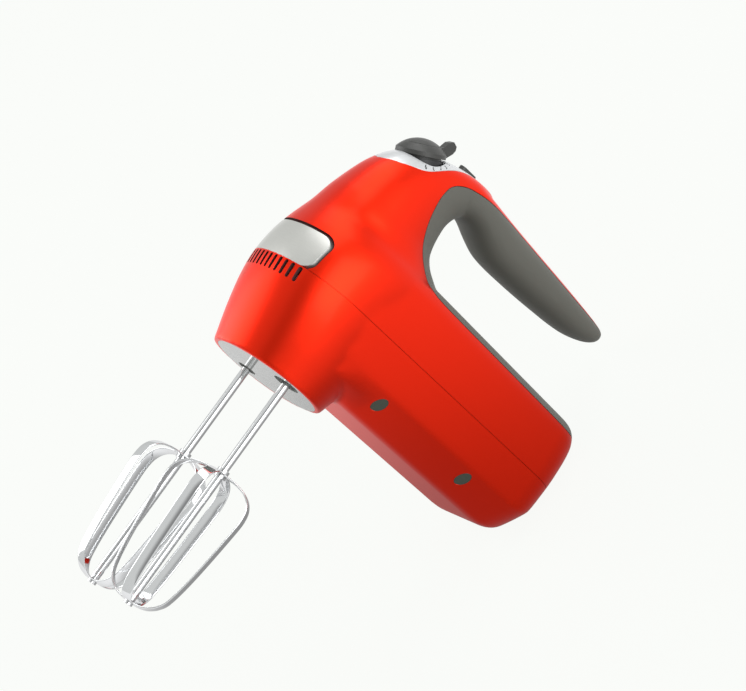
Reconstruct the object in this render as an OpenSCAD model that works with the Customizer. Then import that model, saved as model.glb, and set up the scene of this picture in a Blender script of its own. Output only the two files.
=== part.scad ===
// Electric hand mixer, stored standing on its heel, made of separate pieces.
// The origin is on the heel face, +Z runs up to the nose, +X is the handle side,
// and the beaters point along -X.
// Inside placed(), X is the height above the socket plate, and Z is 0 on the beater shafts.

/* [Housing] */
// Distance from the heel face to the plane of the beater shafts
body_len = 174; // [170:1:180]
// Half of the barrel's width
body_half = 41; // [40.5:0.5:43]
// Wall thickness of the moulded shells
wall = 2.4; // [2:0.1:2.8]
// Height of the flat belly above the socket plate
belly_h = 10; // [8:0.5:12]
// Height of the seam between the lower and the upper housing
seam_h = 51; // [50:0.5:52]
// Height of the deck under the handle, at the throat
deck_h = 93; // [91:0.5:95]
// Fall of the deck from the throat to the heel
deck_fall = 5; // [3:0.5:7]
// Height on the heel face at which the origin lies
heel_mid = 54; // [52:1:56]

/* [Nose] */
// Radius of the pale socket plate under the nose
socket_r = 31.5; // [31:0.1:32]
// Radius of the plain socket hole, on the +Y side
small_hole_r = 5.4; // [5.2:0.1:5.8]
// Radius of the socket hole for the collared beater, on the -Y side
collar_hole_r = 7.6; // [7.4:0.1:8]
// Number of vent slots under the badge plate
vents = 13; // [9:2:13]

/* [Beaters] */
// Distance between the two beater shafts
spacing = 42; // [41.6:0.1:42.4]
// Radius of the beater shafts
shaft_r = 2.4; // [2.2:0.05:2.5]
// Reach of the beaters below the socket plate
beater_out = 139.5; // [130:0.5:145]
// Length of the bladed cage
cage_len = 82; // [76:1:86]
// Largest radius of the cage
cage_r = 25; // [22:0.5:25.5]
// Width of the blade strip
blade_w = 6.5; // [4:0.5:7]
// Thickness of the blade strip
blade_t = 1.1; // [0.9:0.1:1.4]
// Turn of the -Y beater's blades about their shaft, in degrees
blade_phase = 39.5; // [0:1:90]

/* [Drive] */
// Height of the motor axis above the socket plate
motor_h = 45; // [44:0.5:46]
// Module of the worm and its wheels
gear_m = 1; // [1:1:1]
// Teeth of each worm wheel
wheel_teeth = 30; // [30:1:30]
// Starts of the worm
worm_starts = 2; // [2:1:2]
// Radius of the motor shaft
rotor_r = 2.5; // [2.4:0.1:2.6]
// Length of the armature and stator stacks
stack_len = 26; // [22:1:28]

/* [Controls] */
// Forward tilt of the speed dial, in degrees
dial_tilt = 28; // [26:1:30]
// Radius of the speed dial
dial_r = 14; // [13:0.5:14.5]
// Travel of the ejector button in the middle of the dial
eject_travel = 5.5; // [4:0.5:6]

/* [Hidden] */
$fn = 48;

ring_points = 36;
handle_points = 24;
cavity_points = 20;
squareness = 2.25;
half_spacing = spacing / 2;
wheel_r = gear_m * wheel_teeth / 2;
worm_r = half_spacing - wheel_r;
lead = PI * gear_m * worm_starts;
// Middle of the dial's foot, and the heights of what stands in the nose
dial_h = 146.8;
dial_w = 3.6;
running_fit = 0.05;
shank_top = 46.7;
cage_top = beater_out - cage_len;
board_h = 30;
gland_h = 64;
gland_half = 15;
plate_top = 79;
guide_r = 13.2;
button_r = 9.8;
trim_t = 1.2;
turbo_w = [-31, -24];

// Each row: height, half width, front reach, rear reach of the nose and post
column = [
    [0, 33, 33, -33], [20, 38, 38.5, -38], [38, 40.5, 42.5, -40], [52, body_half, 44, -44],
    [66, body_half - 0.3, 43, -50], [77, 39.3, 40.5, -56], [84, 36.6, 38.6, -58], [90, 32.6, 37, -55],
    [94, 30.6, 36, -48], [99, 28.8, 34.8, -39.5], [106, 26.5, 33, -34], [122, 22.5, 27.5, -32],
    [130, 20.5, 23.5, -34], [136, 19, 19.5, -38], [141, 17.5, 14.5, -42],
    [147, 15.5, 4, -44], [152, 13, -8, -46], [155.5, 9.5, -20, -48], [157.5, 5, -34, -50]
];
// Each row: place along the handle, top, underside, half width
handle = [
    [-161.5, 144.5, 141, 3], [-158.5, 146.3, 136.5, 8.5], [-152, 147.5, 132.5, 12],
    [-140, 148.7, 129.3, 14], [-118, 150.7, 127.3, 15.5], [-90, 153.2, 126, 16.5],
    [-68, 155.2, 126.4, 17], [-56, 156.3, 130, 16.5], [-45, 157, 134.5, 16],
    [-34, 157.4, 134.5, 15], [-20, 154, 130, 14]
];
// Half section of the barrel, from the middle of the belly to the middle of the deck
barrel_side = [
    [belly_h, 0], [belly_h, 25], [belly_h + 0.8, 28.5], [belly_h + 4, 31.2], [22, 34.8],
    [29, 38.2], [33, 39.7], [seam_h, body_half - 0.1], [66, body_half - 0.6], [77, 38.9],
    [83.5, 36.4], [88.5, 31], [91.8, 18], [deck_h, 0]
];

// ---- curves, rings and lofts ----

function row_before(table, x) = max([for (i = [0:len(table) - 2]) if (table[i][0] <= x || i == 0) i]);
function slope(table, i, c) =
    let (a = max(i - 1, 0), b = min(i + 1, len(table) - 1))
    (table[b][c] - table[a][c]) / (table[b][0] - table[a][0]);
// Smooth curve through column c of a table
function along(table, x, c) =
    let (i = row_before(table, x), step = table[i + 1][0] - table[i][0],
         t = (x - table[i][0]) / step)
    table[i][c] * (1 + 2 * t) * (1 - t) * (1 - t) + table[i + 1][c] * t * t * (3 - 2 * t)
    + step * (slope(table, i, c) * t * (1 - t) * (1 - t) - slope(table, i + 1, c) * t * t * (1 - t));
function swell(v) = sign(v) * pow(abs(v), 2 / squareness);
function steps(low, high, count) = [for (i = [0:count]) low + (high - low) * i / count];

function points(inset, outside) = inset > 0 ? cavity_points : outside;
// Ring of the nose and post at a height. A cavity takes the outline found a wall higher.
function column_ring(height, inset) =
    let (at = min(height + (height > seam_h ? inset : 0), 157.4), half = along(column, at, 1) - inset,
         front = along(column, at, 2) - inset, rear = along(column, at, 3) + inset)
    [for (i = [0:points(inset, ring_points) - 1]) let (a = 360 * i / points(inset, ring_points))
        [height, half * swell(sin(a)), (front + rear) / 2 + (front - rear) / 2 * swell(cos(a))]];
function handle_ring(w, inset) =
    let (top = along(handle, w, 1) - inset, under = along(handle, w, 2) + inset,
         half = along(handle, w, 3) - inset)
    [for (i = [0:points(inset, handle_points) - 1]) let (a = -360 * i / points(inset, handle_points))
        [(top + under) / 2 + (top - under) / 2 * swell(cos(a)), half * swell(sin(a)), w]];
// How far a rounded corner has come in, at a distance from the end face
function rounding(from_end, depth) = 1 - sqrt(1 - pow(1 - min(1, from_end / depth), 2));
function barrel_ring(w, inset) =
    let (end = w + body_len - 0.8 - inset, side_in = 19 * rounding(end, 20) + inset,
         belly_in = 18 * rounding(end, 24) + inset, deck_in = 11 * rounding(end, 13) + inset,
         fall = deck_fall * max(0, -w - 40) / (body_len - 40),
         half = [for (p = barrel_side)
             let (f = (p[0] - seam_h) / (p[0] > seam_h ? deck_h - seam_h : seam_h - belly_h))
             [p[0] - (f > 0 ? f * (deck_in + fall) : f * belly_in), p[1] * (body_half - side_in) / body_half]],
         last = len(half) - 1)
    [for (p = half) [p[0], p[1], w], for (i = [last - 1:-1:1]) [half[i][0], -half[i][1], w]];

module loft(rings) {
    n = len(rings[0]);
    last = len(rings) - 1;
    polyhedron(
        points = [for (r = rings) each r],
        faces = [
            [for (i = [n - 1:-1:0]) i],
            for (k = [0:last - 1]) for (i = [0:n - 1]) let (j = (i + 1) % n)
                each [[k * n + i, (k + 1) * n + j, (k + 1) * n + i], [k * n + i, k * n + j, (k + 1) * n + j]],
            [for (i = [0:n - 1]) last * n + i]
        ]
    );
}
module placed() translate([-heel_mid, 0, body_len]) children();
// Stands a child up along X, on the motor axis' height, or on the tilted dial axis
module along_x() rotate([90, 0, 90]) children();
module on_shaft(side) translate([0, side * half_spacing, 0]) along_x() children();
module on_motor(w) translate([motor_h, 0, w]) children();
module on_dial(s = 0) translate([dial_h, 0, dial_w]) rotate([0, 90 - dial_tilt, 0]) translate([0, 0, s]) children();
module tube(r, bore, h) difference() {
    cylinder(r = r, h = h);
    translate([0, 0, -1]) cylinder(r = bore, h = h + 2);
}

// ---- outer form and the lines that part it ----

module column_form(inset = 0) loft([
    for (h = steps(inset > 0 ? 3 : 0, 84, inset > 0 ? 5 : 7)) column_ring(h, inset),
    for (h = steps(87, 154.6 - inset, inset > 0 ? 9 : 13)) column_ring(h, inset),
    if (inset == 0) column_ring(157, inset)
]);
module barrel_form(inset = 0) loft([
    for (d = [0, 1, 3, 6, 10, 15, 20, 25]) barrel_ring(d - body_len + 0.8 + inset, inset),
    for (w = [-100, -50, -2]) barrel_ring(w, inset)
]);
module handle_form(inset = 0) loft([
    for (w = [-161.5, -159.5, -156.5, -152]) handle_ring(w + inset * 1.5, inset),
    for (w = steps(-142, -22, inset > 0 ? 6 : 10)) handle_ring(w, inset)
]);
module outer_form() {
    column_form();
    barrel_form();
    handle_form();
}
module cavity() {
    column_form(wall);
    barrel_form(wall);
    handle_form(wall);
}
// Side view of everything above the seam, which falls a little towards the heel
module above_seam() rotate([90, 0, 0]) translate([0, 0, -60]) linear_extrude(120)
    polygon([[seam_h + 1, 60], [seam_h - 1.5, -body_len - 5], [180, -body_len - 5], [180, 60]]);
// Side view of the soft grip: the handle's underside, the throat and the deck
module grip_zone(gap = 0) rotate([90, 0, 0]) translate([0, 0, -60]) linear_extrude(120) polygon([
    [80 - gap, -body_len - 5], [82 - gap, -147], [86 - gap, -46], [88 - gap, -33 + gap], [93 - gap, -25 + gap],
    [103, -17 + gap], [114, -12.5 + gap], [125, -11 + gap], [134, -11.5 + gap], [141 + gap, -15 + gap],
    [146 + gap, -24 + gap], [148 + gap, -38], [148 + gap, -58], [146.5 + gap, -80], [144 + gap, -112],
    [142 + gap, -140], [141 + gap, -body_len - 5]
]);
// Front view of the badge plate's window, rounded at its corners
module badge_window(grow) hull() for (h = [59, 68.5], y = [-22, 22])
    translate([h, y, 20]) cylinder(r = 5.5 + grow, h = 60, $fn = 24);
module vent_slots() for (i = [-(vents - 1) / 2:(vents - 1) / 2]) hull() for (h = [45.5, 51])
    translate([h, i * 3.9, 22]) cylinder(r = 1.1, h = 40, $fn = 12);

// ---- shells ----

// Height at which the screws' heads sit in their deep openings
screw_seat = 30.5;
screw_places = [for (side = [-1, 1], w = [-47, -119]) [side * 33.2, w]];
module at_screws() for (p = screw_places) translate([0, p[0], p[1]]) along_x() children();
// Ribs that carry the stator and the control board
module cradle_ribs() {
    for (w = [-72, -86]) translate([0, -22, w - 1.5]) cube([motor_h - 25, 44, 3]);
    for (w = [-133, -158]) translate([0, -18, w - 1.5]) cube([board_h, 36, 3]);
}
module lower_housing() color("crimson") placed() {
    difference() {
        outer_form();
        difference() {
            cavity();
            at_screws() cylinder(r = 5.4, h = 70, $fn = 24);
            cradle_ribs();
        }
        above_seam();
        along_x() translate([0, 0, -1]) cylinder(r = socket_r, h = 6.6, $fn = 64);
        at_screws() translate([0, 0, -1]) cylinder(r = 1.9, h = 80, $fn = 16);
        at_screws() translate([0, 0, -1]) cylinder(r = 4.2, h = screw_seat + 1, $fn = 24);
        vent_slots();
    }
}
module boss_with_gussets() {
    cylinder(r = 4, h = 17, $fn = 24);
    for (turn = [-28, 28]) rotate([0, 0, turn]) hull() {
        cylinder(r = 0.8, h = 16, $fn = 12);
        translate([5.5, 0, 0]) cylinder(r = 0.8, h = 10, $fn = 12);
    }
}
module upper_housing() color("crimson") placed() difference() {
    union() {
        difference() {
            outer_form();
            cavity();
        }
        intersection() {
            outer_form();
            for (p = screw_places) translate([seam_h - 3, p[0], p[1]]) along_x()
                rotate([0, 0, p[0] > 0 ? 0 : 180]) boss_with_gussets();
        }
    }
    difference() {
        translate([-50, -100, -300]) cube([300, 200, 400]);
        above_seam();
    }
    grip_zone(0.05);
    at_screws() cylinder(r = 1.7, h = 64, $fn = 16);
    difference() {
        badge_window(1);
        column_form(1.5);
    }
    vent_slots();
    on_dial(-16) cylinder(r = guide_r + 0.1, h = 40, $fn = 40);
    difference() {
        trim_leaf(0.1);
        column_form(trim_t);
        handle_form(trim_t);
    }
    turbo_slot(3, 120);
    // Opening in the rear wall for the gland's plate
    translate([seam_h - 8, -gland_half - 0.2, -body_len - 1]) cube([plate_top - seam_h + 8.2, 2 * gland_half + 0.4, 12]);
}
// Plan view of the silver trim, a leaf that narrows towards the handle
module trim_leaf(grow = 0) translate([118, 0, 0]) along_x() linear_extrude(60) polygon([
    for (side = [1, -1]) let (edge = [[0, 24 + grow], [6 + grow, 22.5], [12 + grow, 17.5], [15.5 + grow, 10],
        [16.5 + grow, 3], [15 + grow, -5], [11.5 + grow, -16], [8 + grow, -28], [4.5 + grow, -38.5], [0, -42 - grow]])
        for (i = side > 0 ? [0:9] : [8:-1:1]) [side * edge[i][0], edge[i][1]]
]);
module turbo_slot(r, low) hull() for (w = turbo_w) translate([low, 0, w]) along_x() cylinder(r = r, h = 60, $fn = 20);
module handle_grip() color("dimgray") placed() {
    difference() {
        intersection() {
            outer_form();
            grip_zone();
        }
        cavity();
        at_screws() cylinder(r = 4.2, h = 66, $fn = 16);
    }
    // Hooks under the deck that hold the grip to the housing
    intersection() {
        outer_form();
        grip_zone();
        for (side = [-1, 1], w = [-62, -86, -110, -134]) hull() {
            translate([deck_h - 7, side * 24 - 1.5, w]) cube([6, 3, 4]);
            translate([deck_h - 12, side * 24 - 0.6, w]) cube([1, 1.2, 4]);
        }
    }
}
module heel_pad() color("dimgray") placed() translate([0, 0, -body_len]) linear_extrude(0.8) difference() {
    heel_outline();
    translate([gland_h, 0]) circle(r = 6.2);
}
module heel_outline() {
    for (h = [38, 69], y = [-12, 12]) translate([h, y]) circle(r = 6);
    translate([32, -12]) square([43, 24]);
    translate([38, -18]) square([31, 36]);
}
module socket_plate() color("lightgray") placed() along_x() difference() {
    cylinder(r = socket_r - 0.1, h = 3.2, $fn = 96);
    translate([half_spacing, 0, -1]) cylinder(r = small_hole_r, h = 6);
    translate([-half_spacing, 0, -1]) cylinder(r = collar_hole_r, h = 6);
}
module badge_plate() color("silver") placed() {
    intersection() {
        badge_window(0);
        difference() {
            column_form();
            column_form(1.4);
        }
    }
    // Stakes that go through the recess
    for (h = [60, 67.5], y = [-24, -9, 9, 24]) intersection() {
        column_form(1.3);
        hull() {
            translate([h, y, 26]) cylinder(r = 0.8, h = 1, $fn = 8);
            translate([h, y, 44]) cylinder(r = 1.1, h = 1, $fn = 8);
        }
    }
}
module control_trim() color("gainsboro") placed() difference() {
    intersection() {
        trim_leaf();
        difference() {
            union() {
                column_form();
                handle_form();
            }
            column_form(trim_t);
            handle_form(trim_t);
        }
    }
    grip_zone(0.05);
    on_dial(-20) cylinder(r = guide_r + 0.1, h = 60, $fn = 40);
    on_dial(-0.9) cylinder(r = dial_r + 0.3, h = 30, $fn = 40);
    turbo_slot(2.8, 120);
    // Marks for the speeds, from the back of the dial around its -Y side
    for (i = [0:6]) on_dial(-6) rotate([0, 0, -18 * i]) hull() for (x = [15, 15.8])
        translate([x, 0, 0]) cylinder(r = 0.3, h = 12, $fn = 6);
}
module screw_plugs() color("darkslategray") placed() for (p = screw_places) intersection() {
    translate([10, p[0], p[1]]) along_x() cylinder(r = 4.15, h = screw_seat - 3.2 - 10);
    mirror([0, p[0] > 0 ? 1 : 0, 0]) translate([19, -33.3, p[1]]) rotate([0, 0, -25]) translate([-15, 0, -10])
        cube([30, 12, 20]);
}
module housing_screws() color("silver") placed() at_screws() {
    translate([0, 0, screw_seat - 3]) cylinder(r = 3.4, h = 3);
    translate([0, 0, screw_seat - 1]) cylinder(r = 1.7, h = 62 - screw_seat + 1);
}
// Plate in the rear wall, with the sleeve that the mains lead goes through
module cord_gland() color("black") placed() translate([0, 0, -body_len]) difference() {
    union() {
        translate([seam_h - 1.2, -gland_half, 1]) cube([plate_top - seam_h + 1.2, 2 * gland_half, 2.2]);
        translate([gland_h, 0, 1]) cylinder(r = 7, h = 11);
    }
    translate([gland_h, 0, 0]) cylinder(r = 3.4, h = 20);
}

// ---- controls ----

// Stadium along the handle
module oval(r, h) {
    for (w = turbo_w) translate([0, w, 0]) cylinder(r = r, h = h);
    translate([-r, turbo_w[0], 0]) cube([2 * r, turbo_w[1] - turbo_w[0], h]);
}
// One dome goes over the dial's ring and the button in its middle
dome_r = 17.7;
dome_mid = -9.1;
function dome_s(r) = dome_mid + sqrt(dome_r * dome_r - r * r);
module speed_dial() color("dimgray") placed() on_dial() difference() {
    union() {
        rotate_extrude($fn = 64) polygon([
            [button_r + 0.3, -8], [guide_r - 1.65, -8], [guide_r - 1.65, -0.6], [dial_r, -0.6],
            for (r = [dial_r, dial_r - 0.8, dial_r - 2, dial_r - 3, button_r + 0.3]) [r, dome_s(r)]
        ]);
        // Lever that overhangs the back of the dial
        rotate([90, 0, 0]) translate([0, 0, -2.4]) linear_extrude(4.8)
            polygon([[11, -0.4], [14.4, -0.4], [19, 3.2], [20.4, 5.2], [20.5, 7.5], [18.3, 9.7],
                [15.6, 8.9], [12.8, 5.9], [11, 5.2]]);
    }
    translate([0, 0, 2]) cylinder(r = button_r + 0.3, h = 10);
}
// Place along the dial's axis and free height of the spring under the button
spring_s = -14;
spring_h = eject_travel + 3;
module eject_plunger() color("dimgray") placed() on_dial() {
    intersection() {
        translate([0, 0, spring_s + spring_h]) cylinder(r = button_r, h = 20);
        translate([0, 0, dome_mid]) sphere(r = dome_r);
    }
    translate([0, 0, -20]) cylinder(r = 4, h = 15);
    translate([arm_x - 3, -3.5, -22]) cube([3 - arm_x + 4, 7, 3]);
}
// A round wire coil that stands on the origin
coil_steps = 8;
module coil(r, wire, h, turns) loft([for (k = [0:turns * coil_steps]) let (a = 360 * k / coil_steps)
    [for (i = [0:4]) let (b = 72 * i, out = r + wire * cos(b))
        [out * cos(a), out * sin(a), wire + (h - 2 * wire) * k / (turns * coil_steps) + wire * sin(b)]]]);
module eject_spring() color("silver") placed() on_dial(spring_s) coil(6, 0.6, spring_h, 4);
rod_s = -25.3;
arm_x = (dial_w + rod_s * sin(dial_tilt)) / cos(dial_tilt);
rod_top = dial_h + rod_s * cos(dial_tilt) + arm_x * sin(dial_tilt);
module ejector_yoke() color("ivory") placed() {
    translate([67, -26, -5]) cube([2.5, 52, 10]);
    for (side = [-1, 1]) on_shaft(side) translate([0, 0, shank_top + 0.3]) cylinder(r = shaft_r - 0.1, h = 21);
    along_x() translate([0, 0, 68]) cylinder(r = 2.4, h = rod_top - 68);
    translate([rod_top, 0, 0]) sphere(r = 3);
}
module turbo_button() color("dimgray") placed() along_x() {
    translate([0, 0, 150]) oval(2.5, 8.4);
    translate([0, 0, 150]) oval(3.6, 1.2);
}
module turbo_spring() color("silver") placed() translate([146, 0, -27.5]) along_x() coil(1.6, 0.3, 4, 4);
module control_frame() color("ivory") placed() {
    on_dial(-14) tube(guide_r, guide_r - 1.6, 12);
    on_dial(-16) tube(guide_r, 4.1, 2);
    translate([138, -6, -34]) cube([3, 12, 19.5]);
}
module speed_switch() color("olive") placed() on_dial(-18.4) difference() {
    tube(10.5, 4.6, 2.4);
    for (i = [0:5]) rotate([0, 0, 60 * i]) translate([8.5, 0, -1]) cylinder(r = 0.8, h = 5);
}
module turbo_switch() color("black") placed() translate([141, -4, -34]) cube([5, 8, 14]);
module control_board() color("seagreen") placed() translate([board_h, -22, -164]) cube([1.6, 44, 36]);
module terminal_block() color("black") placed() difference() {
    translate([board_h + 1.6, -12, -160]) cube([10, 24, 9]);
    for (y = [-8, 0, 8]) translate([board_h + 6.6, y, -161]) cylinder(r = 1.6, h = 7);
}

// ---- gearbox and beaters ----

pillars = [for (y = [-9, 9], w = [-21, 21]) [y, w]];
module gearbox_frame() color("slategray") placed() difference() {
    union() {
        translate([9, 0, 0]) along_x() intersection() {
            cylinder(r = 31.5, h = 5);
            translate([-31.5, -25, 0]) cube([63, 50, 5]);
        }
        for (p = pillars) translate([3.2, p[0], p[1]]) along_x() cylinder(r = 3.5, h = 50.8);
        translate([motor_h - 7, -9, 12]) cube([14, 18, 9]);
    }
    for (side = [-1, 1]) on_shaft(side) cylinder(r = 8.5, h = 30);
    on_motor(0) cylinder(r = 5.5, h = 17);
    on_motor(0) cylinder(r = 3, h = 30);
    for (p = pillars) translate([42, p[0], p[1]]) along_x() cylinder(r = 1.25, h = 20);
}
module gearbox_cover() color("slategray") placed() difference() {
    translate([54, 0, 0]) along_x() intersection() {
        cylinder(r = 32, h = 5);
        translate([-32, -25, 0]) cube([64, 50, 5]);
    }
    for (side = [-1, 1]) on_shaft(side) cylinder(r = 8.5, h = 80);
    for (p = pillars) translate([42, p[0], p[1]]) along_x() cylinder(r = 1.25, h = 20);
}
module gearbox_screws() color("silver") placed() for (p = pillars) translate([0, p[0], p[1]]) along_x() {
    translate([0, 0, 44]) cylinder(r = 1.2, h = 15);
    translate([0, 0, 59]) cylinder(r = 2.6, h = 2);
}
module spindle_bushings() color("goldenrod") placed() for (side = [-1, 1], h = [9, 54])
    on_shaft(side) translate([0, 0, h]) tube(8.5, 6 + running_fit, 5);

// Flank angle across a wheel's tooth, at a height above the pitch circle
function tooth_half(r) = 90 / wheel_teeth - 0.5 + (wheel_r - r) * 1.35;
module wheel_teeth_outline() polygon([for (i = [0:wheel_teeth - 1]) let (mid = 360 * (i + 0.5) / wheel_teeth)
    for (p = [[wheel_r - 1.2, -1], [wheel_r + 0.9, -1], [wheel_r + 0.9, 1], [wheel_r - 1.2, 1]])
        let (a = mid + p[1] * tooth_half(p[0])) [p[0] * cos(a), p[0] * sin(a)]]);
// Turn of a wheel's teeth over its height, which follows the worm's thread
wheel_h = 9;
tooth_turn = wheel_h * lead / (2 * PI * worm_r) / wheel_r * 180 / PI;
module worm_wheel(side, foot) on_shaft(side) difference() {
    union() {
        translate([0, 0, motor_h]) rotate([0, 0, -tooth_turn / 2]) linear_extrude(wheel_h, center = true,
            slices = 3, twist = -tooth_turn) wheel_teeth_outline();
        translate([0, 0, foot]) cylinder(r = 6, h = 58.8 - foot);
    }
    cylinder(r = shaft_r + running_fit, h = 80);
    translate([-7, -1.1, foot - 1]) cube([14, 2.2, 8]);
}
module worm_wheel_left() color("ivory") placed() worm_wheel(-1, 7.5);
module worm_wheel_right() color("ivory") placed() worm_wheel(1, 5);

rivet_r = 1.5;
hub_r = shaft_r + 1.1;
module beater_shaft(side, foot) on_shaft(side) {
    translate([0, 0, blade_t - beater_out]) cylinder(r = shaft_r, h = shank_top + beater_out - blade_t);
    translate([-4.5, -0.8, foot + 1]) cube([9, 1.6, 5]);
    translate([0, 0, -cage_top - 3]) cylinder(r = hub_r, h = 5);
    translate([0, 0, -beater_out - 0.5]) cylinder(r = rivet_r, h = 3);
    translate([0, 0, -beater_out - 1.5]) cylinder(r = 2.6, h = 1.5);
}
module beater_shaft_left() color("silver") placed() {
    beater_shaft(-1, 7.5);
    on_shaft(-1) translate([0, 0, 3.6]) cylinder(r = 6.6, h = 3.4);
}
module beater_shaft_right() color("silver") placed() beater_shaft(1, 5);
// One blade's outer edge: share of the cage's radius, and of its length
blade_path = [
    [0, 0], [0.4, 0.006], [0.72, 0.035], [0.92, 0.09], [1, 0.17], [0.985, 0.3], [0.87, 0.64], [0.75, 0.85],
    [0.62, 0.93], [0.42, 0.98], [0.2, 1], [0, 1]
];
function blade_edge(i) = [blade_path[i][0] * cage_r, -blade_path[i][1] * cage_len];
function blade_inside(i) =
    let (last = len(blade_path) - 1, t = blade_edge(min(i + 1, last)) - blade_edge(max(i - 1, 0)))
    blade_edge(i) + blade_t * [t[1], -t[0]] / norm(t);
module blade() rotate([90, 0, 0]) translate([0, 0, -blade_w / 2]) linear_extrude(blade_w) polygon([
    for (i = [0:len(blade_path) - 1]) blade_edge(i),
    for (i = [len(blade_path) - 1:-1:0]) blade_inside(i)
]);
module beater_blades(side, phase) color("silver") placed() on_shaft(side) translate([0, 0, -cage_top]) difference() {
    for (k = [0:3]) rotate([0, 0, phase + 90 * k]) blade();
    translate([0, 0, -4]) cylinder(r = hub_r, h = 10);
    translate([0, 0, -cage_len - 5]) cylinder(r = rivet_r, h = 20);
}
module beater_blades_left() beater_blades(-1, blade_phase);
// The two cages mirror each other half a blade apart, so that they pass between each other
module beater_blades_right() beater_blades(1, 45 - blade_phase);

// ---- motor, along Z behind the beaters ----

stack_w = -79 - stack_len / 2;
module motor_shaft() color("silver") placed() on_motor(-126) cylinder(r = rotor_r, h = 143);
worm_len = 18;
module worm() color("goldenrod") placed() on_motor(-worm_len / 2) difference() {
    rotate([0, 0, -180 * worm_len / lead])
        linear_extrude(worm_len, twist = -360 * worm_len / lead, slices = 27, segments = 24) polygon([for (i = [0:23])
        let (a = 15 * i, t = abs((a % 180) / 90 - 1), r = worm_r + min(0.85, max(-1.15, (0.42 - t) * 5)))
        [r * cos(a), r * sin(a)]]);
    translate([0, 0, -1]) cylinder(r = rotor_r, h = 20);
}
module cooling_fan() color("ivory") placed() on_motor(-53) {
    tube(7, rotor_r, 7);
    for (i = [0:8]) rotate([0, 0, 40 * i]) translate([14, 0, 3.5]) rotate([35, 0, 0])
        translate([-8, -0.8, -4]) cube([15, 1.6, 8]);
}
module armature_core() color("slategray") placed() on_motor(stack_w) difference() {
    cylinder(r = 15, h = stack_len);
    for (i = [0:11]) rotate([0, 0, 30 * i]) translate([8.5, -1.4, -1]) cube([8, 2.8, stack_len + 2]);
    translate([0, 0, -1]) cylinder(r = rotor_r, h = stack_len + 2);
}
module armature_windings() color("sienna") placed() {
    for (end = [stack_w - 7, stack_w + stack_len]) on_motor(end) difference() {
        tube(12.6, rotor_r, 7);
        for (i = [0:11]) rotate([0, 0, 30 * i + 15]) translate([12.2, -0.8, -1]) cube([2, 1.6, 9]);
    }
    on_motor(stack_w) for (i = [0:11]) rotate([0, 0, 30 * i]) translate([8.7, -1.2, 0]) cube([5.2, 2.4, stack_len]);
}
module commutator() color("peru") placed() on_motor(stack_w - 20) difference() {
    union() {
        cylinder(r = 9, h = 11);
        translate([0, 0, 11]) cylinder(r = 10.5, h = 2);
    }
    for (i = [0:23]) rotate([0, 0, 15 * i]) translate([8.2, -0.25, -1]) cube([3, 0.5, 11]);
    translate([0, 0, -1]) cylinder(r = rotor_r, h = 20);
}
module motor_bearings() color("goldenrod") placed() for (w = [12, -42, -124])
    on_motor(w) tube(5.5, rotor_r + running_fit, 5);
// Plate across the motor, with feet on the belly, a seat for its bearing and holes for the long screws
module motor_plate(w, t) difference() {
    on_motor(w) {
        linear_extrude(t) intersection() {
            square([80, 55], center = true);
            union() {
                square([48, 16], center = true);
                square([10, 48], center = true);
                for (turn = [-42, 42]) rotate(turn) square([10, 72], center = true);
                for (y = [-17, 17]) translate([belly_h + wall - motor_h, y - 4]) square([16, 8]);
            }
        }
        cylinder(r = 8.5, h = t + 1.5);
    }
    on_motor(w - 1) cylinder(r = 5.5, h = t + 4);
    at_long_screws() translate([0, 0, -200]) cylinder(r = 1.6, h = 400);
}
module at_long_screws() for (a = [-1, 1]) on_motor(0) translate([a * 21.5, a * 24, 0]) children();
module motor_front_bracket() color("gainsboro") placed() motor_plate(-42, 3.5);
module motor_rear_bracket() color("gainsboro") placed() {
    motor_plate(-124, 3.5);
    for (side = [-1, 1]) translate([motor_h - 4.5, side * 17.5 - 3.5, -120.5]) cube([9, 7, 8]);
}
module stator_core() color("slategray") placed() difference() {
    on_motor(stack_w) translate([-25, -27, 0]) cube([50, 54, stack_len]);
    on_motor(stack_w - 1) cylinder(r = 15.6, h = stack_len + 2);
    for (y = [-22, 16]) translate([motor_h - 10, y, stack_w - 1]) cube([20, 6, stack_len + 2]);
    at_long_screws() translate([0, 0, -200]) cylinder(r = 1.6, h = 400);
}
module field_coils() color("sienna") placed() for (up = [0, 1]) on_motor(0) mirror([up, 0, 0]) {
    for (side = [-1, 1]) translate([0.6, side * 19 - 2.4, stack_w - 9]) cube([9, 4.8, stack_len + 18]);
    for (w = [stack_w - 9, stack_w + stack_len + 1]) difference() {
        translate([0.6, -21.4, w]) cube([21, 42.8, 8]);
        translate([0, 0, w - 1]) cylinder(r = 16.2, h = 10);
        translate([0, -16.6, w - 1]) cube([12, 33.2, 10]);
    }
}
module brush_holders() color("goldenrod") placed() for (side = [0, 1]) mirror([0, side, 0]) difference() {
    translate([motor_h - 4, 11.5, -112.5]) cube([8, 14.5, 8]);
    translate([motor_h - 2.6, 10, -111.1]) cube([5.2, 14.5, 5.2]);
}
module carbon_brushes() color("black") placed() for (side = [0, 1]) mirror([0, side, 0])
    translate([motor_h - 2.5, 9.3, -111]) cube([5, 9.7, 5]);
module brush_springs() color("silver") placed() for (side = [0, 1]) mirror([0, side, 0])
    translate([motor_h, 19, -108.5]) rotate([-90, 0, 0]) coil(1.7, 0.35, 5.5, 4);
module motor_screws() color("silver") placed() at_long_screws() {
    translate([0, 0, -127]) cylinder(r = 2.8, h = 3);
    translate([0, 0, -125]) cylinder(r = 1.5, h = 88);
}

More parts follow.
